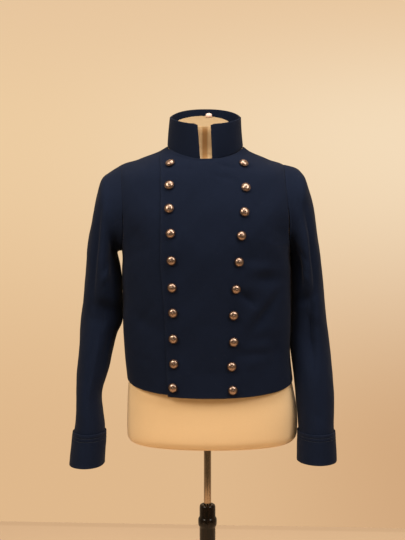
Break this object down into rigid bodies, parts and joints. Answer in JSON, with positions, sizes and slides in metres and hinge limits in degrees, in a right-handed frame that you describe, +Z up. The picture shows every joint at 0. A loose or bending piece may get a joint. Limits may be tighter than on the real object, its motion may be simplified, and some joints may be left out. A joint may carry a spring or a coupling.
{
  "type": "stable jacket on a dress form",
  "caption": "Waist-length double-breasted wool jacket with a stand collar and turned-up cuffs, on a limbless dress form and turned pole stand.",
  "frame": {"origin": "on the floor under the axis of the stand's pole", "axes": "+Z up, the jacket's front faces -Y, and the wearer's left side is towards +X"},
  "size_m": [0.5724, 0.4, 1.574],
  "materials": {
    "jacket_wool": "dark navy milled wool cloth, soft and nearly matt",
    "button_copper": "polished copper-coloured metal, darkened in the middle and round the edge",
    "form_jersey": "cream cotton jersey stretched over a smooth form",
    "form_knob": "small pinkish painted wooden knob, satin",
    "rod_chrome": "bright drawn steel rod",
    "stand_lacquer": "turned wood, very dark brown gloss lacquer"
  },
  "bodies": {
    "root": {"left_front": "jacket_wool", "right_front": "jacket_wool", "back": "jacket_wool", "collar": "jacket_wool", "right_top_sleeve": "jacket_wool", "right_under_sleeve": "jacket_wool", "right_cuff": "jacket_wool", "left_top_sleeve": "jacket_wool", "left_under_sleeve": "jacket_wool", "left_cuff": "jacket_wool", "form_body": "form_jersey", "form_knob": "form_knob", "stand_rod": "rod_chrome", "stand_pole": "stand_lacquer", "stand_base": "stand_lacquer", "right_button_01": "button_copper", "right_button_02": "button_copper", "right_button_03": "button_copper", "right_button_04": "button_copper", "right_button_05": "button_copper", "right_button_06": "button_copper", "right_button_07": "button_copper", "right_button_08": "button_copper", "right_button_09": "button_copper", "right_button_10": "button_copper", "left_button_01": "button_copper", "left_button_02": "button_copper", "left_button_03": "button_copper", "left_button_04": "button_copper", "left_button_05": "button_copper", "left_button_06": "button_copper", "left_button_07": "button_copper", "left_button_08": "button_copper", "left_button_09": "button_copper", "left_button_10": "button_copper"}
  },
  "joints": []
}
